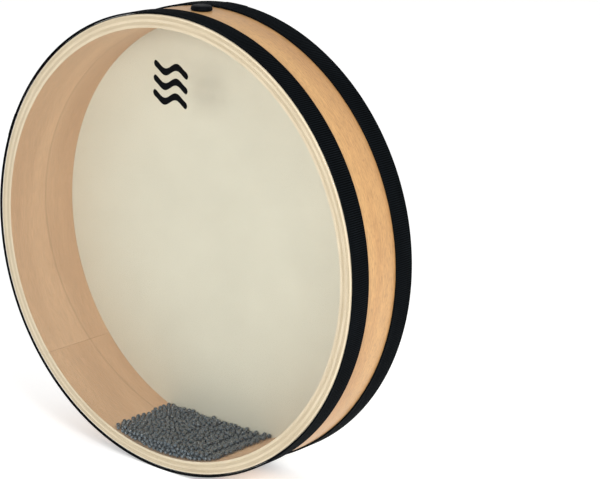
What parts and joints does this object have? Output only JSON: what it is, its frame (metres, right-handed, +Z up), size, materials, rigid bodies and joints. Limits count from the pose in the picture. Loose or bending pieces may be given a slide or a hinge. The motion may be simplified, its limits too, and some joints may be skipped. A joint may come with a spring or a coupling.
{
  "type": "ocean drum",
  "caption": "Shallow round hand drum with a clear and an opaque head and a loose charge of steel beads that rolls inside it.",
  "frame": {"origin": "on the floor line, in the middle of the drum's depth, straight below the drum's axis", "axes": "+Y runs along the drum's axis from the clear head to the opaque head, +Z is up from the bead heap to the fill plug, +X completes the frame"},
  "size_m": [0.355, 0.07, 0.3575],
  "materials": {
    "beech_veneer": "satin lacquered beech, pale and fine-grained",
    "beech_core": "bare ply edge",
    "clear_film": "clear polyester film",
    "ivory_film": "opaque ivory polyester film, faintly mottled",
    "black_ribbon": "ribbed woven ribbon",
    "black_rubber": "smooth, slightly glossy",
    "red_fabric": "tightly woven satin ribbon",
    "dark_steel": "blackened, satin"
  },
  "bodies": {
    "drum": {"outer_veneer": "beech_veneer", "outer_core_ply": "beech_core", "middle_core_ply": "beech_core", "inner_core_ply": "beech_core", "inner_veneer": "beech_veneer", "clear_head": "clear_film", "opaque_head": "ivory_film", "front_ribbon": "black_ribbon", "rear_ribbon": "black_ribbon", "fabric_tag": "red_fabric"},
    "plug": {"fill_plug": "black_rubber"},
    "bead_charge": {"steel_beads": "dark_steel"}
  },
  "joints": [
    {"name": "plug_pull", "type": "slide", "parent": "drum", "child": "plug", "axis": [0, 0, 1], "range_m": [0, 0.016]},
    {"name": "bead_roll", "type": "hinge", "parent": "drum", "child": "bead_charge", "pos_m": [0, 0, 0.17755], "axis": [0, 1, 0], "continuous": true}
  ]
}
